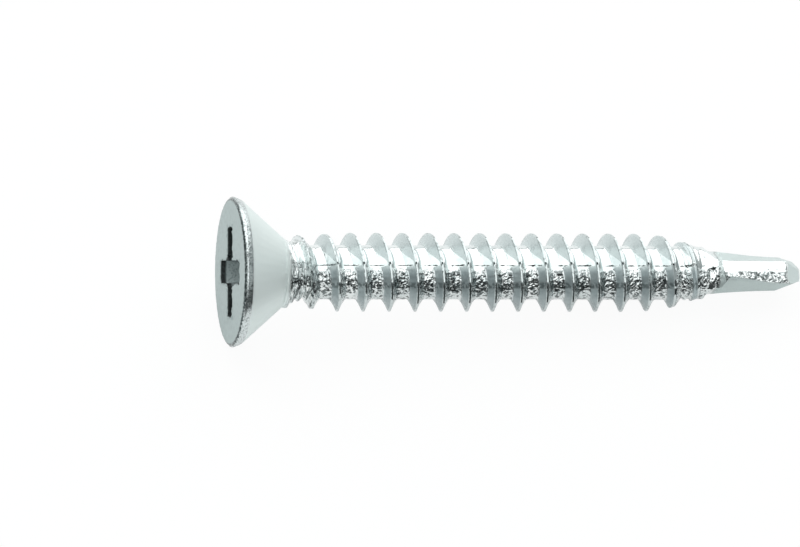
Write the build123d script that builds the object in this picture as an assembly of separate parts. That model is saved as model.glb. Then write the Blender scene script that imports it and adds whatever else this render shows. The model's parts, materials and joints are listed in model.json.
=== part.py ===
from build123d import *
from math import atan2, ceil, cos, degrees, floor, hypot, radians, sin, tan
import os

# Millimetres. While the screw is built, its axis is Z: the head's face is at zero
# and the drill point is up. It is laid down on the floor at the end.

overall_length = 31.0
point_length = 5.8

# Head
head_diameter = 7.86
countersink_angle = 82.0
rim_height = 0.36
face_chamfer = 0.13
cone_chamfer = 0.17
neck_radius = 1.66
neck_fillet = 0.9
neck_taper_length = 1.0

# Thread, rolled into the shank, right-handed
thread_diameter = 4.14
core_diameter = 2.84
pitch = 1.40
crest_flat = 0.07
root_width = 0.80
low_crest_diameter = 3.76
fading_crest_diameter = 3.88
last_crest_rise = 0.10
ridge_root_depth = 0.12

# Along the thread, from the end of the head's cone
thread_hidden_length = 0.49
low_thread_length = 1.05
first_crest_after = 2.08
full_thread_after = 2.65

# Along the thread, back from the start of the drill point
full_thread_before = 3.0
fading_thread_before = 1.6
thread_end_before = 0.3
last_fade_length = 0.5

# Cross recess, number two size
recess_across = 4.78
recess_wall_angle = 26.5
recess_depth = 2.50
recess_floor_drop = 0.55
wing_width_top = 1.20
wing_width_bottom = 0.78
wing_corner_top = 0.48
wing_corner_bottom = 0.26

# Drill point, forged between two dies, then split by two flutes
drill_diameter = 3.50
collar_length = 0.95
collar_step = 0.03
collar_swell = 0.02
pinch_length = 0.50
oblong_thickness = 2.60
flat_angle = 20.0
flats_after = 0.8
flats_thickness = 2.30
flat_taper = 0.052
flat_entry_length = 0.7
flat_entry_rise = 0.32
flute_corner_u = 0.36
flute_corner_v = -0.31
flute_face_tilt_tip = -9.0
flute_face_tilt_start = 2.0
flute_wall_angle = 228.0
flute_corner_radius = 0.30
scoop_start_after = 0.40
scoop_after = 0.60
scoop_length = 0.55
scoop_lift = 0.64
scoop_end_lift = 0.58
scoop_wall_angle = 196.0
scoop_rise_length = 0.40
lip_slope = 0.80
relief_slope = 0.50
heel_lip_slope = 0.50
heel_relief_slope = 1.35

# How it lies: its rim and its last full crest touch the floor, and this is how far
# the side of the point that carries the nearer flute is turned up from the level.
viewed_side_raised = 50.0

head_radius = head_diameter / 2
thread_radius = thread_diameter / 2
core_radius = core_diameter / 2
drill_radius = drill_diameter / 2
cone_slope = tan(radians(countersink_angle / 2))
head_height = rim_height + (head_radius - neck_radius) / cone_slope
roll = 180 - viewed_side_raised

first_crest_at = head_height + first_crest_after
full_thread_start = head_height + full_thread_after
drill_start = overall_length - point_length
full_thread_end = drill_start - full_thread_before
thread_end = drill_start - thread_end_before

# How far cutting shapes run past the steel that they trim, and how far the flute's
# cutter reaches sideways: along its two faces, then at the corner between them.
margin = 0.4
crest_clearance = 0.05
cutter_reach = 3.5
cutter_corner_reach = 5.6


def turned_body():
    """Head, neck and core as one revolved outline."""
    outline = Polyline(
        (0, 0),
        (head_radius, 0),
        (head_radius, rim_height),
        (neck_radius, head_height),
        (core_radius, head_height + neck_taper_length),
        (core_radius, drill_start),
        (0, drill_start),
        close=True,
    )
    section = make_face(outline)
    face_corner = section.vertices().sort_by_distance((head_radius, 0))[0]
    section = chamfer(face_corner, face_chamfer)
    cone_corner = section.vertices().sort_by_distance((head_radius, rim_height))[0]
    section = chamfer(cone_corner, cone_chamfer)
    neck_corner = section.vertices().sort_by_distance((neck_radius, head_height))[0]
    section = fillet(neck_corner, neck_fillet)
    return revolve(Plane.XZ * section, Axis.Z)


def crest_envelope():
    """The turned shape that the crests stay inside: low by the head, then fading."""
    clear = thread_radius + crest_clearance
    low_radius = low_crest_diameter / 2
    base = head_height / 2
    end = thread_end + last_fade_length
    outline = Polyline(
        (0, base),
        (low_radius, base),
        (low_radius, head_height + low_thread_length),
        (thread_radius, full_thread_start),
        (clear, full_thread_start + margin),
        (clear, full_thread_end - margin),
        (thread_radius, full_thread_end),
        (fading_crest_diameter / 2, drill_start - fading_thread_before),
        (core_radius + last_crest_rise, thread_end),
        (core_radius - crest_clearance, end),
        (0, end),
        close=True,
    )
    return revolve(Plane.XZ * make_face(outline), Axis.Z)


def ridge(start):
    """One turn of the rolled ridge: its outline swept along the thread's helix."""
    inner = core_radius - ridge_root_depth
    flank_slope = (root_width - crest_flat) / (thread_diameter - core_diameter)
    half_crest = crest_flat / 2
    half_foot = half_crest + (thread_radius - inner) * flank_slope
    outline = Polyline(
        (inner, -half_foot),
        (thread_radius, -half_crest),
        (thread_radius, half_crest),
        (inner, half_foot),
        close=True,
    )
    path = Helix(pitch, pitch, core_radius)
    swept = sweep(Plane.XZ * make_face(outline), path=path, is_frenet=True)
    turn = 360 * (start - first_crest_at) / pitch
    return Pos(0, 0, start) * Rot(0, 0, turn) * swept


def thread():
    """The ridge's turns, from inside the head's cone to where it fades away."""
    start = head_height - thread_hidden_length
    turns = ceil((thread_end + last_fade_length + pitch / 2 - start) / pitch)
    envelope = crest_envelope()
    return [ridge(start + number * pitch) & envelope for number in range(turns)]


def cross(width, corner):
    """A plus-shaped face, wider than the head's recess, with rounded inner corners."""
    reach = recess_across
    arms = Rectangle(reach, width) + Rectangle(width, reach)
    inner = arms.vertices().sort_by_distance((0, 0))[:4]
    return fillet(inner, corner)


def recess():
    """The punch: a tapered cross trimmed by a steep cone with a shallow cone end."""
    deep = recess_depth + recess_floor_drop
    grow = (wing_width_top - wing_width_bottom) * margin / deep
    top = Pos(0, 0, -margin) * cross(wing_width_top + grow, wing_corner_top)
    bottom = Pos(0, 0, deep) * cross(wing_width_bottom, wing_corner_bottom)
    punch = loft([top, bottom], ruled=True)
    slope = tan(radians(recess_wall_angle))
    face_radius = recess_across / 2
    cone = Polyline(
        (0, -margin),
        (face_radius + margin * slope, -margin),
        (face_radius - recess_depth * slope, recess_depth),
        (0, deep),
        close=True,
    )
    return punch & revolve(Plane.XZ * make_face(cone), Axis.Z)


def oblong(height, half_thickness, half_width):
    """A cross-section of the forged point, its long way across the flats' tilt."""
    across = Rot(0, 0, flat_angle + 90) * Ellipse(half_width, half_thickness)
    return Pos(0, 0, height) * across


def point_blank():
    """The forged oblong: round where it leaves the core, then pinched and tapered."""
    half = oblong_thickness / 2
    round_radius = core_radius - collar_step
    collar_end = drill_start + collar_length
    pinched_at = collar_end + pinch_length
    shoulder = loft(
        [
            oblong(drill_start - margin, round_radius, round_radius),
            oblong(collar_end, round_radius, round_radius + collar_swell),
            oblong(pinched_at, half, drill_radius),
        ],
        ruled=True,
    )
    straight = extrude(
        oblong(pinched_at, half, drill_radius),
        amount=overall_length + margin - pinched_at,
    )
    return (shoulder + straight) & point_flats()


def point_flats():
    """The two nearly parallel faces that the dies leave, wide apart at the core."""
    reach = thread_diameter
    flats_start = drill_start + flats_after
    entry = flats_start - flat_entry_length
    tip = overall_length + margin
    half_start = flats_thickness / 2
    half_entry = half_start + flat_entry_rise
    half_tip = half_start - flat_taper * (tip - flats_start)
    half_slab = Polyline(
        (0, 0),
        (reach, 0),
        (reach, entry),
        (half_entry, entry),
        (half_start, flats_start),
        (half_tip, tip),
        (0, tip),
        close=True,
    )
    section = make_face(half_slab)
    section += mirror(section, Plane.YZ)
    slab = extrude(Plane.XZ * section, amount=reach, both=True)
    return Rot(0, 0, flat_angle) * slab


def flute_section(height, face_tilt, wall_angle, lift):
    """The flute's cross-section: the cutting face, a rounded corner, the back wall."""
    out = radians((face_tilt + flute_wall_angle - 360) / 2)
    u = flute_corner_u + lift * cos(out)
    v = flute_corner_v + lift * sin(out)
    face = radians(face_tilt)
    wall = radians(wall_angle)
    reach = cutter_reach
    far = cutter_corner_reach
    outline = Polyline(
        (v, u),
        (v + reach * sin(face), u + reach * cos(face)),
        (v + far * sin(out), u + far * cos(out)),
        (v + reach * sin(wall), u + reach * cos(wall)),
        close=True,
    )
    section = make_face(outline)
    corner = section.vertices().sort_by_distance((v, u))[0]
    return Pos(0, 0, height) * fillet(corner, flute_corner_radius)


def flute():
    """One flute, nearly straight, with a shallow scoop before it towards the thread."""
    tip = flute_face_tilt_tip
    start = flute_face_tilt_start
    wall = flute_wall_angle
    scoop_wall = scoop_wall_angle
    clear = drill_radius - core_radius + scoop_lift
    scoop = drill_start + scoop_after
    scoop_end = scoop + scoop_length
    full = scoop_end + scoop_rise_length
    sections = [
        flute_section(drill_start + scoop_start_after, start, scoop_wall, clear),
        flute_section(scoop, start, scoop_wall, scoop_lift),
        flute_section(scoop_end, start, scoop_wall, scoop_end_lift),
        flute_section(full, start, wall, 0),
        flute_section(overall_length + margin, tip, wall, 0),
    ]
    return loft(sections, ruled=True)


def below_plane(fall_u, fall_v):
    """All that lies under a plane through the tip that falls by so much along U and V."""
    size = overall_length
    nose = Box(size, size, size, align=(Align.CENTER, Align.CENTER, Align.MAX))
    steepest = degrees(atan2(hypot(fall_u, fall_v), 1))
    heading = degrees(atan2(fall_u, fall_v))
    return Pos(0, 0, overall_length) * Rot(0, 0, heading) * Rot(0, steepest, 0) * nose


def point_cut():
    """What is left of the tip: on each side a relief behind the lip, then a heel."""
    near = below_plane(lip_slope, relief_slope)
    near = near & below_plane(heel_lip_slope, heel_relief_slope)
    return near & (Rot(0, 0, 180) * near)


def drill_point():
    """The forged blank with both flutes and the two end planes taken off."""
    groove = flute()
    blank = point_blank() - groove - Rot(0, 0, 180) * groove
    return blank & point_cut()


def screw():
    body = turned_body()
    for turn in thread():
        body += turn
    return body + drill_point() - recess()


def lying_dip():
    """How far the axis dips towards the point, in radians, once the screw lies down."""
    turns = floor((full_thread_end - first_crest_at) / pitch + roll / 360)
    lowest_crest_at = first_crest_at + pitch * (turns - roll / 360)
    return atan2(head_radius - thread_radius, lowest_crest_at - rim_height)


def lay_down(part):
    """Axis along +X, resting on the head's rim and the last full crest."""
    laid = Rot(0, 90 + degrees(lying_dip()), 0) * Rot(0, 0, roll) * part
    box = laid.bounding_box()
    middle = (box.min + box.max) / 2
    return Pos(-middle.X, -middle.Y, -box.min.Z) * laid


os.makedirs("parts", exist_ok=True)
export_step(lay_down(screw()), "parts/screw.step")
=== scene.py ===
import json
from math import atan2, cos, hypot, pi, radians, sin, tan
import bpy
from mathutils import Matrix, Vector

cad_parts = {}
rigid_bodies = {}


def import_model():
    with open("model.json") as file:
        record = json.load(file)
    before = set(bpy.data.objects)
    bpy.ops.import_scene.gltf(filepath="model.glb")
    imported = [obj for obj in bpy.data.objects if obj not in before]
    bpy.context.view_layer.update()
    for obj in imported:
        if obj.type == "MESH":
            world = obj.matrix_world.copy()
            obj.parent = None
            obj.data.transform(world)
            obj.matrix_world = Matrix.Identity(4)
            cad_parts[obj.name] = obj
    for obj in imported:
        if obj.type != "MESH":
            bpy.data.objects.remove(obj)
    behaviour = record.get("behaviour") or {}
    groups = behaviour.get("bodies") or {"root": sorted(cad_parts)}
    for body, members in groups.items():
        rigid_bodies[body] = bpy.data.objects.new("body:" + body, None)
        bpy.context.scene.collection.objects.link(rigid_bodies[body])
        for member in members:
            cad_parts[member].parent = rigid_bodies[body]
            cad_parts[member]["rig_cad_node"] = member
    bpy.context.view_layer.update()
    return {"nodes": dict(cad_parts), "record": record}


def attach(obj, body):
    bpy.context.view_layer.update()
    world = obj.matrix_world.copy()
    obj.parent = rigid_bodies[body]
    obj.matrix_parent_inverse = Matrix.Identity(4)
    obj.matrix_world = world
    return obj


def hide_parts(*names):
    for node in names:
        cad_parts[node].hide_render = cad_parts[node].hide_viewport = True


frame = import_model()

# The screw's own directions: along goes from head to point, toward faces the camera,
# up is the picture's upward. A place on the screw is given as far, high and near in
# these directions from the centre of the head's face, in millimetres.
mm = 0.001
mounts = {mount["name"]: mount for mount in frame["record"]["mounts"]}
along = -Vector(mounts["countersink"]["axis"])
headLength = mounts["countersink"]["dims"]["length_mm"]
headRadius = mounts["countersink"]["dims"]["r_mm"]
crestRadius = mounts["thread"]["dims"]["r_mm"]
faceCentre = Vector(mounts["countersink"]["pos_m"]) - along * headLength / 2 * mm
viewedSideRaised = radians(50)
level = Vector((0, 0, 1)).cross(along).normalized()
lift = along.cross(level).normalized()
toward = lift * sin(viewedSideRaised) - level * cos(viewedSideRaised)
up = toward.cross(along)
screwTurn = Matrix((along, up, toward))


def selectOnly(piece):
    bpy.ops.object.select_all(action="DESELECT")
    piece.select_set(True)
    bpy.context.view_layer.objects.active = piece


# One value in a shader, on which Python's own operators add Math nodes

class Wire:
    def __init__(self, finish, socket):
        self.finish = finish
        self.socket = socket

    def math(self, operation, *others):
        return self.finish.math(operation, self, *others)

    def __add__(self, other):
        return self.math("ADD", other)

    def __sub__(self, other):
        return self.math("SUBTRACT", other)

    def __mul__(self, other):
        return self.math("MULTIPLY", other)

    def __truediv__(self, other):
        return self.math("DIVIDE", other)

    def __radd__(self, other):
        return self.finish.math("ADD", other, self)

    def __rsub__(self, other):
        return self.finish.math("SUBTRACT", other, self)

    def __rmul__(self, other):
        return self.finish.math("MULTIPLY", other, self)

    def __rtruediv__(self, other):
        return self.finish.math("DIVIDE", other, self)


class Finish:
    def __init__(self, name):
        self.material = bpy.data.materials.new(name)
        self.material.use_nodes = True
        self.tree = self.material.node_tree
        self.shader = self.tree.nodes["Principled BSDF"]
        self.output = self.tree.nodes["Material Output"]

    def node(self, kind, settings=None, sockets=None):
        made = self.tree.nodes.new(kind)
        for name, value in (settings or {}).items():
            setattr(made, name, value)
        for name, value in (sockets or {}).items():
            self.feed(made.inputs[name], value)
        return made

    def feed(self, socket, value):
        if isinstance(value, Wire):
            value = value.socket
        if isinstance(value, bpy.types.NodeSocket):
            self.tree.links.new(value, socket)
        else:
            socket.default_value = value

    def wire(self, socket):
        return Wire(self, socket)

    def math(self, operation, *values):
        made = self.node("ShaderNodeMath", {"operation": operation})
        for socket, value in zip(made.inputs, values):
            self.feed(socket, value)
        return self.wire(made.outputs[0])

    def ramp(self, value, low, high):
        made = self.node("ShaderNodeMapRange", {"interpolation_type": "SMOOTHSTEP", "clamp": True},
                         {"Value": value, "From Min": low, "From Max": high})
        return self.wire(made.outputs["Result"])

    def noise(self, place, scale, detail, roughness, distortion):
        made = self.node("ShaderNodeTexNoise", {"noise_dimensions": "3D"},
                         {"Vector": place, "Scale": scale, "Detail": detail,
                          "Roughness": roughness, "Distortion": distortion})
        return self.wire(made.outputs["Fac"])

    def mixColour(self, share, first, second):
        made = self.node("ShaderNodeMix", {"data_type": "RGBA"})
        self.feed(made.inputs[0], share)
        for socket, colour in ((made.inputs[6], first), (made.inputs[7], second)):
            self.feed(socket, (*colour, 1) if isinstance(colour, tuple) else colour)
        return made.outputs[2]

    def mix(self, share, first, second):
        return first + share * (second - first)


# Zinc: satin on the head, rough on its rim, bright and pitted where it was rolled. By
# mask, roughness is the new value and metallic is the change. Bumps are mask, pattern
# and height in millimetres. Dirt and painted shade are mask, pattern, the two values of
# the pattern between which it sets in, and how dark it gets. Part of the colour is
# painted light and shade: darker flanks, and stronger dark pits and creases, on the lower
# half of the seen side and on the back; a painted dark reflection band on the flanks; slot
# walls painted near black as shade; and a satin strip whose width changes with height as
# a painted reflection edge.

zinc = {
    "pale": (0.83, 0.86, 0.855),
    "cone": (0.77, 0.835, 0.82),
    "dull": (0.66, 0.71, 0.71),
    "flank": (0.57, 0.63, 0.63),
    # painted shade: flank colour on the lower half of the seen side and on the back
    "flankBelow": (0.37, 0.43, 0.44),
    "forged": (0.56, 0.63, 0.62),
    "crest": (0.60, 0.65, 0.65),
    "face": (0.47, 0.54, 0.535),
    # painted shade: the slot walls near the face, near black
    "slotWall": (0.012, 0.016, 0.016),
    "deepWall": (0.36, 0.42, 0.42),
    # darkens real dirt and painted shade alike
    "grime": (0.05, 0.07, 0.07),
    "wornFrom": (0.35, 0.70),
    "flankMottle": (0.40, 0.60),
    "evenFlank": 0.7,
    "brightRoughness": 0.045,
    "wornRoughness": 0.03,
    "wornRoughnessFrom": (0.3, 0.7),
    "roughness": {"flank": 0.26, "offLand": 0.32, "head": 0.44, "face": 0.50, "rim": 0.18},
    "metallic": {"head": -0.45, "face": 0.2, "rim": 0.4, "flank": -0.45, "offLand": -0.45},
    "pits": {"specks": 0.130, "grain": 0.014, "streaks": 0.030},
    "upperPits": 0.05,
    "collarPits": 0.25,
    "bumps": [
        ("point", "specks", 0.006),
        ("landBand", "specks", 0.100),
        ("landBand", "grain", 0.012),
        ("flank", "specks", 0.020),
        ("burred", "streaks", 0.070),
        ("offLand", "stipple", 0.004),
        ("offLand", "specks", 0.010),
        ("head", "stipple", 0.003),
        ("face", "stipple", 0.006),
        ("rim", "stipple", 0.008),
    ],
    # real dirt and wear, and painted shade where noted
    "dirt": [
        ("face", "faceGrain", 0.40, 0.70, 0.14),
        ("recess", "grain", 0.45, 0.65, 0.50),
        ("rim", "grain", 0.50, 0.62, 0.50),
        ("faceCorner", "grain", 0.36, 0.50, 0.85),
        # real pits, darkened more on the lower half of the seen side and the back as painted shade
        ("pitted", "specks", 0.54, 0.62, 0.80),
        ("dieLine", "grain", 0.42, 0.54, 2.0),
        ("crest", "specks", 0.56, 0.64, 0.35),
        # dark streaks on the folds, stronger on the lower seen side as painted shade
        ("creased", "streaks", 0.50, 0.60, 0.75),
        # painted reflection: a dark band low on the flanks of the seen side
        ("shaded", "specks", 0.42, 0.52, 0.60),
    ],
}

# Noise in the zinc: scale, detail, roughness and distortion
patterns = {
    "patches": (0.9, 3, 0.6, 0.0),
    "grain": (9.0, 3, 0.6, 0.0),
    "specks": (4.6, 1, 0.5, 0.2),
    "stipple": (16.0, 2, 0.6, 0.0),
    "faceGrain": (4.0, 4, 0.65, 0.0),
    "streaks": (2.6, 2, 0.5, 0.3),
}
streakStretch = (3.4, 0.5, 0.5)

# Where one look gives way to another: both ends of each change, in millimetres, but for
# landEdge, which is a share of the point's oblong section
zones = {
    "faceEnds": (0.02, 0.06),
    "rimInner": (3.74, 3.80),
    "rimEnds": (0.44, 0.52),
    "faceCornerInner": (3.72, 3.78),
    "faceCornerEnds": (0.06, 0.12),
    "insideCone": (0.30, 0.42),
    "recessBegins": (0.01, 0.05),
    "slotsLighten": (0.22, 0.34),
    "threadBegins": (2.75, 3.05),
    "foldsEnd": (4.2, 4.6),
    "threadEnds": (25.5, 25.7),
    "collarEnds": (26.0, 26.2),
    "landBegins": (26.1, 26.3),
    "offLandBegins": (26.15, 26.30),
    "landEdge": (0.86, 0.92),
    "landLower": (-0.16, -0.04),
    "satinEnds": (-0.05, 0.03),
    "overCrest": (-0.02, 0.02),
    "crestEdge": (0.05, 0.08),
    "upperFlank": (0.50, 1.15),
    "middleFlank": (0.25, 0.40),
    # lowerHalf, front and back: where flanks, pits and creases are painted darker as shade
    "lowerHalf": (-0.35, 0.05),
    "front": (-0.3, 0.3),
    "back": (0.3, 0.8),
    # where the painted dark reflection band lies on the flanks, below the axis
    "shadeTop": (0.46, 0.60),
    "shadeBottom": (0.78, 0.88),
    "shadeFront": (0.0, 0.5),
}

# The satin strip beside a crest, in millimetres, and shares by which looks give way. Its
# width changes with height as a painted reflection edge: narrow a little above the axis,
# wider above and below, where the grey flank meets the bright rolled zinc.
satin = {
    "narrow": 0.10,
    "wider": 0.34,
    "middle": 0.8,
    "burredLoss": 0.7,
    "backShare": 0.6,
    "upperCreases": 0.3,
}

# The screw's form, in millimetres and degrees
form = {
    "rimEnd": 0.36,
    "coneSlope": 0.869,
    "firstCrest": 5.051,
    "pitch": 1.40,
    "coreRadius": 1.42,
    "flatsTilt": 20,
    "pointHalf": (1.30, 1.75),
}


def placeOnScrew(finish):
    place = finish.node("ShaderNodeTexCoord").outputs["Object"]
    centred = finish.node("ShaderNodeVectorMath", {"operation": "SUBTRACT"},
                          {0: place, 1: tuple(faceCentre)}).outputs[0]
    turned = finish.node("ShaderNodeMapping", {"vector_type": "POINT"},
                         {"Vector": centred, "Rotation": tuple(screwTurn.to_euler())}).outputs[0]
    scaled = finish.node("ShaderNodeVectorMath", {"operation": "SCALE"},
                         {0: turned, "Scale": 1 / mm}).outputs[0]
    parts = finish.node("ShaderNodeSeparateXYZ", None, {0: scaled})
    return scaled, [finish.wire(socket) for socket in parts.outputs]


def zincMasks(finish, far, high, near):
    def past(value, zone):
        return finish.ramp(value, *zones[zone])

    radius = (high * high + near * near).math("SQRT")
    turn = near.math("ARCTAN2", high) / (2 * pi)
    phase = (far - form["firstCrest"]) / form["pitch"] - turn
    pastCrest = (phase - phase.math("ROUND")) * form["pitch"]
    fromCrest = pastCrest.math("ABSOLUTE")
    below = high * -1
    front = past(near, "front")

    onThread = past(far, "threadBegins")
    onPoint = past(far, "threadEnds")
    inThread = onThread * (1 - onPoint)
    coneRadius = headRadius - (far - form["rimEnd"]) * form["coneSlope"]

    # Painted reflection: the strip's width changes with height, so the grey flank and the bright zinc meet
    # where a reflection edge would be.
    wider = satin["wider"] * (1 - past(pastCrest, "overCrest"))
    middle = satin["middle"] * (1 - past(high, "middleFlank"))
    satinAndPaintedReflectionWidth = satin["narrow"] + wider * past(high, "upperFlank").math("MAXIMUM", middle)
    root = past(fromCrest - satinAndPaintedReflectionWidth, "satinEnds")
    burred = onThread * (1 - past(far, "foldsEnd"))
    rolled = (inThread * root).math("MAXIMUM", burred) * (1 - burred * satin["burredLoss"])
    # Painted shade: the lower half of the seen side, and the back at a share, darkens the flanks and
    # strengthens the dark pits and creases there.
    onBack = satin["backShare"] * past(near * -1, "back")
    lower = (past(below, "lowerHalf") * front).math("MAXIMUM", onBack)
    crest = inThread * (1 - past(fromCrest, "crestEdge"))
    flank = inThread * (1 - root) * (1 - crest) * (1 - burred)
    # Painted reflection: a dark band on the flanks of the seen side, 0.46 to 0.88 mm below the axis.
    shaded = past(below, "shadeTop") * (1 - past(below, "shadeBottom")) * past(near, "shadeFront")

    tilt = radians(form["flatsTilt"])
    across = high * cos(tilt) + near * sin(tilt)
    wide = near * cos(tilt) - high * sin(tilt)
    narrowHalf, wideHalf = form["pointHalf"]
    outward = (across / narrowHalf).math("POWER", 2) + (wide / wideHalf).math("POWER", 2)
    offLand = past(far, "offLandBegins") * (1 - past(outward, "landEdge"))
    # The lower band of the land on the seen side: bumpy, and darkened there as painted shade.
    landBand = past(far, "landBegins") * (1 - offLand) * past(below, "landLower") * front
    upperCreases = satin["upperCreases"]
    return {
        "head": 1 - onThread,
        "face": 1 - past(far, "faceEnds"),
        "rim": past(radius, "rimInner") * (1 - past(far, "rimEnds")),
        "faceCorner": past(radius, "faceCornerInner") * (1 - past(far, "faceCornerEnds")),
        "recess": past(coneRadius - radius, "insideCone") * past(far, "recessBegins"),
        "inSlots": past(far, "slotsLighten"),
        "thread": onThread,
        "burred": burred,
        "rolled": rolled,
        "lower": lower,
        "crest": crest,
        "flank": flank,
        # dark pits: real, and stronger on the lower seen side as painted shade
        "pitted": rolled * lower + landBand,
        # dark streaks on the folds: real marks, stronger on the lower side as painted shade
        "creased": burred * (upperCreases + (1 - upperCreases) * lower),
        "shaded": shaded * flank,
        "point": onPoint,
        "collar": onPoint * (1 - past(far, "collarEnds")),
        "offLand": offLand,
        "landBand": landBand,
        "dieLine": offLand * (1 - offLand),
    }


def zincNoises(finish, place):
    drawn = finish.node("ShaderNodeMapping", {"vector_type": "POINT"},
                        {"Vector": place, "Scale": streakStretch}).outputs[0]
    return {name: finish.noise(drawn if name == "streaks" else place, *settings)
            for name, settings in patterns.items()}


def zincColour(finish, mask, noise):
    worn = finish.ramp(noise["patches"], *zinc["wornFrom"]) * mask["thread"]
    even = zinc["evenFlank"]
    # Painted shade: flanks darker on the lower half of the seen side and on the back, partly mottled.
    flankShadeShare = mask["lower"] * (even + (1 - even) * finish.ramp(noise["patches"], *zinc["flankMottle"]))
    colour = finish.mixColour(worn, zinc["pale"], zinc["dull"])
    for place, layer in (
        ("head", zinc["cone"]),
        ("rim", zinc["dull"]),
        ("offLand", zinc["forged"]),
        ("flank", finish.mixColour(flankShadeShare, zinc["flank"], zinc["flankBelow"])),
        ("crest", zinc["crest"]),
        ("face", zinc["face"]),
        # Painted shade: the slot walls near the face are near black; deeper down they are grey.
        ("recess", finish.mixColour(mask["inSlots"], zinc["slotWall"], zinc["deepWall"])),
    ):
        colour = finish.mixColour(mask[place], colour, layer)
    # real dirt together with painted shade and a painted dark reflection
    dirt = 0
    for place, pattern, low, high, amount in zinc["dirt"]:
        dirt = dirt + mask[place] * finish.ramp(noise[pattern], low, high) * amount
    return finish.mixColour(dirt, colour, zinc["grime"])


def zincRoughness(finish, mask, noise):
    worn = finish.ramp(noise["patches"], *zinc["wornRoughnessFrom"])
    rough = zinc["brightRoughness"] + zinc["wornRoughness"] * worn
    for place, value in zinc["roughness"].items():
        rough = finish.mix(mask[place], rough, value)
    return rough


def zincMetallic(mask):
    metal = 1
    for place, change in zinc["metallic"].items():
        metal = metal + mask[place] * change
    return metal


def zincBump(finish, mask, noise):
    pits = sum(noise[pattern] * depth for pattern, depth in zinc["pits"].items())
    upperPits = zinc["upperPits"]
    height = pits * mask["rolled"] * (upperPits + (1 - upperPits) * mask["lower"])
    height = height + pits * mask["collar"] * mask["lower"] * zinc["collarPits"]
    for place, pattern, depth in zinc["bumps"]:
        height = height + mask[place] * noise[pattern] * depth
    bump = finish.node("ShaderNodeBump", None, {"Height": height * mm, "Distance": 1.0, "Strength": 1.0})
    return bump.outputs[0]


def zincFinish():
    finish = Finish("brightZincPlating")
    place, (far, high, near) = placeOnScrew(finish)
    mask = zincMasks(finish, far, high, near)
    noise = zincNoises(finish, place)
    inputs = finish.shader.inputs
    finish.feed(inputs["Base Color"], zincColour(finish, mask, noise))
    finish.feed(inputs["Roughness"], zincRoughness(finish, mask, noise))
    finish.feed(inputs["Metallic"], zincMetallic(mask))
    finish.feed(inputs["Normal"], zincBump(finish, mask, noise))
    return finish.material


# What the three parts of the body share. Head and point are cut from the CAD mesh where
# it is round and plain, the thread runs a little way into both, and each hidden end is
# closed by a cone that stays clear of the recess.

body = {
    "mergeWithin": 0.002,
    "cutWithin": 0.0001,
    "endWithin": 0.01,
    "plugEnd": 3.35,
    "recessEnd": 3.15,
    "recessWithin": 1.2,
    "coarseEdge": 0.22,
    "fineEdge": 0.14,
    "fineFrom": 2.80,
    "flatWithin": 3,
    "refineTurns": 7,
    "smoothBelow": 34,
    "bevelSteps": 2,
    "bevelRoundness": 0.5,
}

head = {
    "end": 2.70,
    "rimWidth": 0.55,
    "rimFrom": 3.6,
    "rimCornerFrom": 3.7,
    "rimLevelWithin": 0.002,
    "rimRounding": 0.055,
    "rimLongestEdge": 0.16,
}

# The recess where it opens in the face: half of a wing's width, how far it reaches, and
# the rounding between two wings
mouth = {
    "halfWidth": 0.60,
    "reach": 2.39,
    "corner": 0.48,
    "rounding": 0.05,
    "onFaceWithin": 0.003,
    "reachMargin": 0.05,
    "sharpBelow": 0.7,
    "around": 0.16,
    "deep": 0.12,
    "faceWithin": 3.0,
    "longestEdge": 0.09,
}

# The thread: half of its ridge as distances from the crest, then how high the crests
# stand along the screw, and the shank under them at both of its ends
thread = {
    "ridge": [0.0, 0.035, 0.07, 0.11, 0.155, 0.205, 0.26, 0.32, 0.385, 0.45, 0.515, 0.58, 0.64, 0.70],
    "crestHalf": 0.035,
    "footHalf": 0.46,
    "hollowness": 1.38,
    "crests": [(2.5, 1.88), (4.021, 1.88), (5.621, crestRadius), (22.2, crestRadius),
               (23.6, 1.94), (24.9, 1.52), (25.2, 1.42), (25.23, 1.38)],
    "shank": [(2.50, 1.72), (2.68, 1.88), (2.70, 1.897), (2.78, 1.828), (2.84, 1.78),
              (2.90, 1.736), (2.98, 1.69), (3.08, 1.645), (3.19, 1.609), (3.971, 1.42),
              (25.20, 1.42), (25.23, 1.39), (25.38, 1.39), (25.45, 1.35)],
    "start": 2.50,
    "end": 25.45,
    "steps": 120,
    "turns": 19,
    "firstTurn": -3,
    "leastRadius": 0.1,
}

# Small folds that lie along the thread where it begins and where it runs out
folds = {
    "spacing": 0.34,
    "height": 0.15,
    "above": 0.3,
    "begin": (2.95, 3.20),
    "beginEnds": (3.95, 4.45),
    "finish": (24.0, 24.5),
    "finishEnds": (24.7, 25.2),
    "finishShare": 0.6,
}

# How the point's surfaces drift up or down as the dies left them, at its two ends:
# height on the side that is seen, then the shift. Around its middle the nose is pushed
# forward, which makes it blunter.
forging = {
    "pointStart": 25.36,
    "smoothBelow": 18,
    "driftAlong": (26.2, 29.4),
    "driftBegins": (25.9, 26.2),
    "frontSide": (-0.6, -0.1),
    "start": [(-1.14, 0.0), (-0.39, 0.13), (0.80, -0.10), (1.07, 0.03)],
    "end": [(-0.97, 0.0), (-0.39, -0.13), (0.50, 0.10), (0.91, -0.12)],
    "noseAlong": (28.2, 29.4),
    "noseRadius": 0.40,
    "noseCentre": 0.2,
    "lowerPush": 0.08,
    "upperPush": 0.18,
    "upperHalf": (-0.2, 0.3),
    "leastHeight": 0.01,
}

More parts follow.
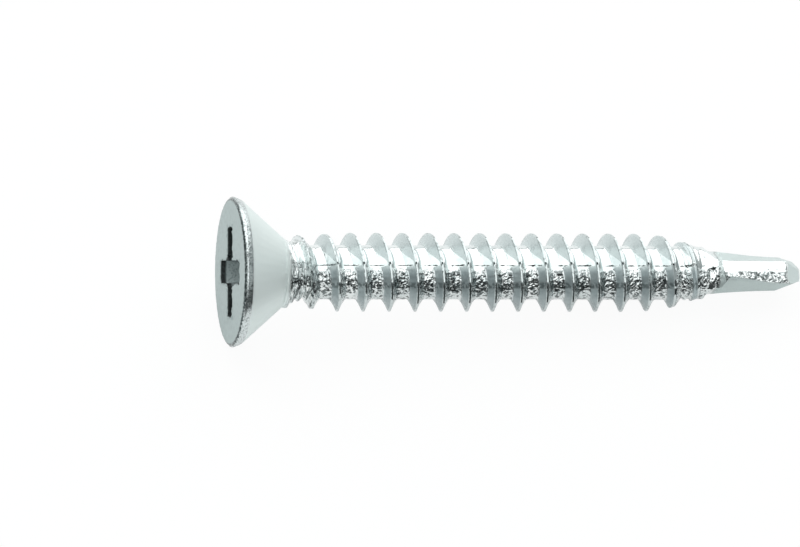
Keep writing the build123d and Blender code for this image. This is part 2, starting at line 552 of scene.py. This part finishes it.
# Unevenness that the rolling and the punch left: size of the lumps, then their height,
# and between which values it sets in or ends
relief = {
    "rolledCore": (0.20, 0.070),
    "rolledGrit": (0.11, 0.012),
    "raggedStart": (0.26, 0.14),
    "rimGrit": (0.14, 0.030),
    "recessBurr": (0.22, 0.320),
    "pointGrit": (0.16, 0.008),
}
reliefZones = {
    "rimInner": (3.60, 3.78),
    "rimEnds": (0.42, 0.56),
    "mouthEnds": (0.03, 0.08),
    "mouthAround": (0.04, 0.12),
    "threadBegins": (2.85, 3.15),
    "raggedBegins": (2.85, 3.25),
    "raggedEnds": (4.1, 4.6),
    "lastTurnBegins": (24.1, 24.6),
    "lastTurnEnds": (25.3, 25.7),
    "pointBegins": (26.0, 26.5),
    "root": (0.22, 0.40),
    "ridges": (1.5, 1.7),
    "lowerHalf": (-0.15, 0.25),
    "front": (-0.3, 0.3),
}
unevenness = {
    "upperShare": 0.12,
    "lastTurnShare": 0.6,
    "leastWeight": 0.01,
}


def screwPlace(point):
    offset = (point - faceCentre) / mm
    return offset.dot(along), offset.dot(up), offset.dot(toward)


def softStep(value, low, high):
    share = min(max((value - low) / (high - low), 0), 1)
    return share * share * (3 - 2 * share)


def heightAt(far, outline):
    for (start, low), (end, high) in zip(outline, outline[1:]):
        if far <= end:
            return low + (high - low) * max(far - start, 0) / (end - start)
    return outline[-1][1]


def editAll(piece):
    selectOnly(piece)
    bpy.ops.object.mode_set(mode="EDIT")
    bpy.ops.mesh.select_all(action="SELECT")


def clearSelection(piece, kind):
    selectOnly(piece)
    bpy.ops.object.mode_set(mode="EDIT")
    bpy.ops.mesh.select_mode(type=kind)
    bpy.ops.mesh.select_all(action="DESELECT")
    bpy.ops.object.mode_set(mode="OBJECT")


def facesOfEdges(mesh):
    sides = {edge.key: [] for edge in mesh.edges}
    for face in mesh.polygons:
        for key in face.edge_keys:
            sides[key].append(face)
    return sides


def bevelSelected(width):
    bpy.ops.object.mode_set(mode="EDIT")
    bpy.ops.mesh.bevel(offset=width * mm, segments=body["bevelSteps"], profile=body["bevelRoundness"])
    bpy.ops.object.mode_set(mode="OBJECT")


def cadCopy(name):
    selectOnly(frame["nodes"]["screw"])
    bpy.ops.object.duplicate()
    piece = bpy.context.active_object
    piece.name = name
    del piece["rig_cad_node"]
    editAll(piece)
    bpy.ops.mesh.remove_doubles(threshold=body["mergeWithin"] * mm)
    bpy.ops.object.mode_set(mode="OBJECT")
    return piece


# Cuts square to the axis, takes off what lies before the cut or past it, and closes the
# end with a shallow cone. The recess's own walls run on past the head's cut and stay.

def cutAt(piece, far, keepFar, closedAt):
    editAll(piece)
    bpy.ops.mesh.bisect(plane_co=faceCentre + along * far * mm, plane_no=along,
                        threshold=body["cutWithin"] * mm)
    bpy.ops.object.mode_set(mode="OBJECT")
    clearSelection(piece, "FACE")
    for face in piece.data.polygons:
        at, high, near = screwPlace(face.center)
        inRecess = at < body["recessEnd"] and hypot(high, near) < body["recessWithin"]
        face.select = at < far if keepFar else at > far and not inRecess
    bpy.ops.object.mode_set(mode="EDIT")
    bpy.ops.mesh.delete(type="FACE")
    bpy.ops.object.mode_set(mode="OBJECT")
    clearSelection(piece, "EDGE")
    mesh = piece.data
    sides = facesOfEdges(mesh)
    for edge in mesh.edges:
        fromCut = abs(screwPlace(mesh.vertices[edge.vertices[0]].co)[0] - far)
        edge.select = len(sides[edge.key]) == 1 and fromCut < body["endWithin"]
    bpy.ops.object.mode_set(mode="EDIT")
    bpy.ops.mesh.edge_face_add()
    bpy.ops.mesh.poke()
    bpy.ops.object.mode_set(mode="OBJECT")
    piece.data.vertices[-1].co += along * (closedAt - far) * mm


def roundRim(piece):
    clearSelection(piece, "EDGE")
    mesh = piece.data
    places = [screwPlace(vertex.co) for vertex in mesh.vertices]
    rounded = 0
    for edge in mesh.edges:
        ends = [places[index] for index in edge.vertices]
        around = abs(ends[0][0] - ends[1][0]) < head["rimLevelWithin"]
        outer = min(hypot(high, near) for far, high, near in ends) > head["rimCornerFrom"]
        if around and outer and ends[0][0] < head["rimWidth"]:
            edge.select = True
            rounded += 1
    bevelSelected(head["rimRounding"])
    print("rim edges rounded", rounded)


def roundMouth(piece):
    clearSelection(piece, "EDGE")
    mesh = piece.data
    reach = mouth["reach"] + mouth["reachMargin"]
    onFace = []
    for vertex in mesh.vertices:
        far, high, near = screwPlace(vertex.co)
        onFace.append(far < mouth["onFaceWithin"] and hypot(high, near) < reach)
    sides = facesOfEdges(mesh)
    rounded = 0
    for edge in mesh.edges:
        faces = sides[edge.key]
        if not all(onFace[index] for index in edge.vertices) or len(faces) != 2:
            continue
        if faces[0].normal.dot(faces[1].normal) < mouth["sharpBelow"]:
            edge.select = True
            rounded += 1
    bevelSelected(mouth["rounding"])
    print("mouth edges rounded", rounded)


def fromMouth(high, near):
    half, reach, corner = mouth["halfWidth"], mouth["reach"], mouth["corner"]
    small, large = sorted((abs(high), abs(near)))
    if large < half + corner:
        return abs(hypot(half + corner - small, half + corner - large) - corner)
    if small < half:
        return large - reach if large > reach else min(half - small, reach - large)
    return hypot(small - half, max(large - reach, 0))


def longestEdgeAt(far, high, near):
    radius = hypot(high, near)
    if far < mouth["deep"] and radius < mouth["faceWithin"] and fromMouth(high, near) < mouth["around"]:
        return mouth["longestEdge"]
    if far < head["rimWidth"] and radius > head["rimFrom"]:
        return head["rimLongestEdge"]
    return body["coarseEdge"] if far < body["fineFrom"] else body["fineEdge"]


def refine(piece):
    for turn in range(body["refineTurns"]):
        clearSelection(piece, "EDGE")
        mesh = piece.data
        split = 0
        for edge in mesh.edges:
            first, second = (mesh.vertices[index].co for index in edge.vertices)
            if (first - second).length > longestEdgeAt(*screwPlace((first + second) / 2)) * mm:
                edge.select = True
                split += 1
        if not split:
            break
        bpy.ops.object.mode_set(mode="EDIT")
        bpy.ops.mesh.subdivide(number_cuts=1, ngon=False)
        bpy.ops.mesh.select_all(action="SELECT")
        bpy.ops.mesh.quads_convert_to_tris(quad_method="SHORTEST_DIAGONAL")
        bpy.ops.mesh.beautify_fill(angle_limit=radians(body["flatWithin"]))
        bpy.ops.object.mode_set(mode="OBJECT")
        print("refining", turn, split, len(mesh.polygons))


def headPiece():
    piece = cadCopy("zincScrew")
    cutAt(piece, head["end"], False, body["plugEnd"])
    roundRim(piece)
    roundMouth(piece)
    refine(piece)
    return piece


def distanceFromCrest(far, high, near):
    phase = (far - form["firstCrest"]) / form["pitch"] - atan2(near, high) / (2 * pi)
    return abs(phase - round(phase)) * form["pitch"]


def ridgeRadius(fromCrest):
    share = max(fromCrest - thread["crestHalf"], 0) / (thread["footHalf"] - thread["crestHalf"])
    height = crestRadius - form["coreRadius"]
    return form["coreRadius"] + height * max(1 - share, 0) ** thread["hollowness"]


def foldHeight(far, high, near):
    begun = softStep(far, *folds["begin"]) * (1 - softStep(far, *folds["beginEnds"]))
    fading = softStep(far, *folds["finish"]) * (1 - softStep(far, *folds["finishEnds"]))
    wave = 0.5 - 0.5 * cos(2 * pi * distanceFromCrest(far, high, near) / folds["spacing"])
    return folds["height"] * (folds["above"] - wave) * (begun + folds["finishShare"] * fading)


def ridgeOutline():
    half = thread["ridge"]
    profile = [(ridgeRadius(far), -far) for far in reversed(half)]
    profile += [(ridgeRadius(far), far) for far in half[1:]]
    bpy.ops.object.select_all(action="DESELECT")
    bpy.ops.mesh.primitive_plane_add(size=mm)
    piece = bpy.context.active_object
    bpy.ops.object.mode_set(mode="EDIT")
    bpy.ops.mesh.select_mode(type="VERT")
    bpy.ops.mesh.merge(type="CENTER")
    before = Vector((0, 0, 0))
    for number, (radius, far) in enumerate(profile):
        point = Vector((radius, 0, far)) * mm
        if number:
            bpy.ops.mesh.extrude_region_move(TRANSFORM_OT_translate={"value": point - before})
        else:
            bpy.ops.transform.translate(value=point)
        before = point
    bpy.ops.object.mode_set(mode="OBJECT")
    return piece


def windOutline(piece):
    turned = piece.modifiers.new("turns", "SCREW")
    turned.axis = "Z"
    turned.screw_offset = form["pitch"] * mm
    turned.iterations = thread["turns"]
    turned.steps = turned.render_steps = thread["steps"]
    bpy.ops.object.modifier_apply(modifier="turns")
    editAll(piece)
    bpy.ops.mesh.remove_doubles(threshold=body["mergeWithin"] * mm)
    bpy.ops.object.mode_set(mode="OBJECT")
    firstTurn = form["firstCrest"] + thread["firstTurn"] * form["pitch"]
    axes = Matrix((up, toward, along)).transposed().to_4x4()
    piece.matrix_world = Matrix.Translation(faceCentre + along * firstTurn * mm) @ axes
    bpy.ops.object.transform_apply(location=True, rotation=True, scale=True)


def threadPiece():
    piece = ridgeOutline()
    windOutline(piece)
    cutAt(piece, thread["start"], True, body["plugEnd"])
    cutAt(piece, thread["end"], False, thread["end"])
    editAll(piece)
    bpy.ops.mesh.normals_make_consistent(inside=False)
    bpy.ops.object.mode_set(mode="OBJECT")
    for vertex in piece.data.vertices:
        far, high, near = screwPlace(vertex.co)
        radius = hypot(high, near)
        if radius < thread["leastRadius"]:
            continue
        wanted = max(min(radius, heightAt(far, thread["crests"])), heightAt(far, thread["shank"]))
        wanted += foldHeight(far, high, near)
        vertex.co += (up * high + toward * near) * ((wanted - radius) / radius * mm)
    return piece


def forgePoint(piece):
    for vertex in piece.data.vertices:
        far, high, near = screwPlace(vertex.co)
        share = softStep(far, *forging["driftAlong"])
        begun = softStep(far, *forging["driftBegins"])
        front = softStep(near, *forging["frontSide"])
        blunt = softStep(far, *forging["noseAlong"])
        blunt *= min(forging["noseCentre"] + hypot(high, near) / forging["noseRadius"], 1)
        rise, push = 0, 0
        for seen, weight, sign in ((high, front, 1), (-high, 1 - front, -1)):
            shift = heightAt(seen, forging["start"]) * (1 - share) + heightAt(seen, forging["end"]) * share
            rise += sign * weight * begun * shift
            upper = softStep(seen, *forging["upperHalf"])
            push += weight * blunt * (forging["lowerPush"] + upper * forging["upperPush"])
        vertex.co += (up * rise + along * push) * mm
        vertex.co.z = max(vertex.co.z, forging["leastHeight"] * mm)


def pointPiece():
    piece = cadCopy("drillPoint")
    cutAt(piece, forging["pointStart"], True, forging["pointStart"])
    refine(piece)
    forgePoint(piece)
    return piece


def reliefWeights(far, high, near):
    def past(value, zone):
        return softStep(value, *reliefZones[zone])

    radius = hypot(high, near)
    root = past(distanceFromCrest(far, high, near), "root")
    rolled = past(far, "threadBegins") * (1 - past(far, "pointBegins")) * root
    upper = unevenness["upperShare"]
    rolled *= upper + (1 - upper) * past(-high, "lowerHalf") * past(near, "front")
    firstTurn = past(far, "raggedBegins") * (1 - past(far, "raggedEnds"))
    lastTurn = past(far, "lastTurnBegins") * (1 - past(far, "lastTurnEnds"))
    burr = 1 - past(far, "mouthEnds") if radius < mouth["faceWithin"] else 0
    return {
        "rolledCore": rolled,
        "rolledGrit": rolled,
        "raggedStart": (firstTurn + lastTurn * unevenness["lastTurnShare"]) * past(radius, "ridges"),
        "rimGrit": past(radius, "rimInner") * (1 - past(far, "rimEnds")),
        "recessBurr": burr * (1 - past(fromMouth(high, near), "mouthAround")),
        "pointGrit": past(far, "pointBegins"),
    }


def roughen(piece):
    groups = {name: piece.vertex_groups.new(name=name) for name in relief}
    for vertex in piece.data.vertices:
        for name, weight in reliefWeights(*screwPlace(vertex.co)).items():
            if weight > unevenness["leastWeight"]:
                groups[name].add([vertex.index], weight, "REPLACE")
    selectOnly(piece)
    for name, (size, height) in relief.items():
        lumps = bpy.data.textures.new(name, type="CLOUDS")
        lumps.noise_scale = size * mm
        lumps.noise_depth = 1
        lumps.noise_basis = "ORIGINAL_PERLIN"
        displace = piece.modifiers.new(name, "DISPLACE")
        displace.texture = lumps
        displace.texture_coords = "LOCAL"
        displace.vertex_group = name
        displace.mid_level = 0.5
        displace.strength = height * mm
        if name == "recessBurr":
            displace.direction = "X"  # raises or sinks the edges and keeps the slots' width
        bpy.ops.object.modifier_apply(modifier=name)
    piece.vertex_groups.clear()


def screwBody():
    piece, point, helix = headPiece(), pointPiece(), threadPiece()
    parts = [(piece, body["smoothBelow"]), (helix, body["smoothBelow"]), (point, forging["smoothBelow"])]
    print("head, thread, point:", [len(part.data.polygons) for part, angle in parts], "faces")
    for part, angle in parts:
        part.data.materials.clear()
        selectOnly(part)
        bpy.ops.object.shade_smooth_by_angle(angle=radians(angle))
    selectOnly(piece)
    helix.select_set(True)
    point.select_set(True)
    bpy.ops.object.join()
    roughen(piece)
    piece.data.materials.append(zincFinish())
    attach(piece, "root")
    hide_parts("screw")
    return piece


screw = screwBody()
print("screw", len(screw.data.polygons), "faces")


# Studio: a pale table, a wide soft light above and behind, a smaller one low in front,
# and dark cards that only the bright zinc mirrors. Lights are placed in degrees from the
# direction of the camera. A card is a width, then where it starts and ends (y and z) in
# metres.

studio = {
    "tableSize": 1.6,
    "tableColour": (0.86, 0.88, 0.88),
    "tableSeenWhite": 0.93,
    "tableMirroredWhite": 0.50,
    "matt": 0.9,
    "skyColour": (0.80, 0.86, 0.86),
    "skyStrength": 0.50,
    "lightsAway": 0.40,
    "softboxAt": 78,
    "softboxHalf": 47,
    "softboxRadiance": 1.25,
    "fillAt": -3,
    "fillHalf": 26,
    "fillRadiance": 1.05,
    "cardColour": (0.012, 0.016, 0.016),
    "slopingCard": (0.9, (-0.0135, 0.0006), (-0.36, 0.115)),
    "lowCard": (0.022, (-0.0040, 0.0003), (-0.0135, 0.0006)),
    "lowCardAlong": 0.005,
    "thinCard": (0.9, (-0.0415, 0.2465), (-0.0665, 0.2410)),
}


def paleTable():
    finish = Finish("paleTable")
    path = finish.node("ShaderNodeLightPath")
    seen = finish.wire(path.outputs["Is Camera Ray"])
    mirrored = finish.wire(path.outputs["Is Glossy Ray"])
    glow = finish.node("ShaderNodeEmission", None, {"Color": (1, 1, 1, 1), "Strength": 1.0})
    finish.shader.inputs["Base Color"].default_value = (*studio["tableColour"], 1)
    finish.shader.inputs["Roughness"].default_value = studio["matt"]
    white = seen * studio["tableSeenWhite"] + mirrored * studio["tableMirroredWhite"]
    blend = finish.node("ShaderNodeMixShader", None, {0: white})
    finish.tree.links.new(finish.shader.outputs[0], blend.inputs[1])
    finish.tree.links.new(glow.outputs[0], blend.inputs[2])
    finish.tree.links.new(blend.outputs[0], finish.output.inputs[0])
    bpy.ops.object.select_all(action="DESELECT")
    bpy.ops.mesh.primitive_plane_add(size=studio["tableSize"], location=(0, 0, 0))
    table = bpy.context.active_object
    table.name = "table"
    table.data.materials.append(finish.material)


def softLight(name, at, half, radiance):
    angle = viewedSideRaised + radians(at)
    direction = Vector((0, -cos(angle), sin(angle)))
    away = studio["lightsAway"]
    side = 2 * away * tan(radians(half))
    bpy.ops.object.light_add(type="AREA", location=direction * away)
    lamp = bpy.context.active_object
    lamp.name = name
    lamp.rotation_euler = direction.to_track_quat("Z", "Y").to_euler()
    lamp.data.shape = "SQUARE"
    lamp.data.size = side
    lamp.data.energy = radiance * pi * side * side


def darkCard(name, finish, width, start, end, besideCentre=0):
    start = Vector((besideCentre, *start))
    end = Vector((besideCentre, *end))
    run = end - start
    bpy.ops.object.select_all(action="DESELECT")
    bpy.ops.mesh.primitive_plane_add(size=1, location=(start + end) / 2)
    card = bpy.context.active_object
    card.name = name
    card.scale = (width, run.length, 1)
    card.rotation_euler = run.to_track_quat("Y", "Z").to_euler()
    card.data.materials.append(finish.material)
    card.visible_camera = False
    card.visible_shadow = False
    card.visible_diffuse = False


def darkCards():
    finish = Finish("darkCard")
    finish.shader.inputs["Base Color"].default_value = (*studio["cardColour"], 1)
    finish.shader.inputs["Roughness"].default_value = studio["matt"]
    darkCard("slopingCard", finish, *studio["slopingCard"])
    darkCard("lowCard", finish, *studio["lowCard"], studio["lowCardAlong"])
    darkCard("thinCard", finish, *studio["thinCard"])


def sky():
    world = bpy.data.worlds.new("paleRoom")
    bpy.context.scene.world = world
    world.use_nodes = True
    ground = world.node_tree.nodes["Background"]
    ground.inputs["Color"].default_value = (*studio["skyColour"], 1)
    ground.inputs["Strength"].default_value = studio["skyStrength"]


paleTable()
softLight("softbox", studio["softboxAt"], studio["softboxHalf"], studio["softboxRadiance"])
softLight("fill", studio["fillAt"], studio["fillHalf"], studio["fillRadiance"])
darkCards()
sky()
bpy.context.scene.view_settings.view_transform = "Standard"
print("studio ready")


# Camera, matched to the photograph: a long lens that sees the head a little from in
# front. The target is the place on the axis so many millimetres from the face.

camera = {
    "alongAtTarget": 16.0,
    "turnToHead": 14.5,
    "roll": 0.12,
    "distance": 0.345,
    "focalPixels": 6534,
    "targetPixel": (526.35, 272.6),
    "imageSize": (800, 547),
    "sensor": 36.0,
    "clip": (0.01, 10),
}


def photographCamera():
    turn = radians(camera["turnToHead"])
    roll = radians(camera["roll"])
    target = faceCentre + along * camera["alongAtTarget"] * mm
    back = toward * cos(turn) - along * sin(turn)
    right = along * cos(turn) + toward * sin(turn)
    top = up * cos(roll) - right * sin(roll)
    right = right * cos(roll) + up * sin(roll)
    width, height = camera["imageSize"]
    across = (camera["targetPixel"][0] - width / 2) / camera["focalPixels"]
    down = (camera["targetPixel"][1] - height / 2) / camera["focalPixels"]
    away = (back + right * across - top * down).normalized()
    right = top.cross(away).normalized()
    top = away.cross(right)
    bpy.ops.object.camera_add(location=target + back * camera["distance"])
    viewer = bpy.context.active_object
    viewer.name = "camera"
    viewer.rotation_euler = Matrix((right, top, away)).transposed().to_euler()
    viewer.data.sensor_width = camera["sensor"]
    viewer.data.lens = camera["focalPixels"] / width * camera["sensor"]
    viewer.data.clip_start, viewer.data.clip_end = camera["clip"]
    bpy.context.scene.camera = viewer


photographCamera()
print("camera ready")
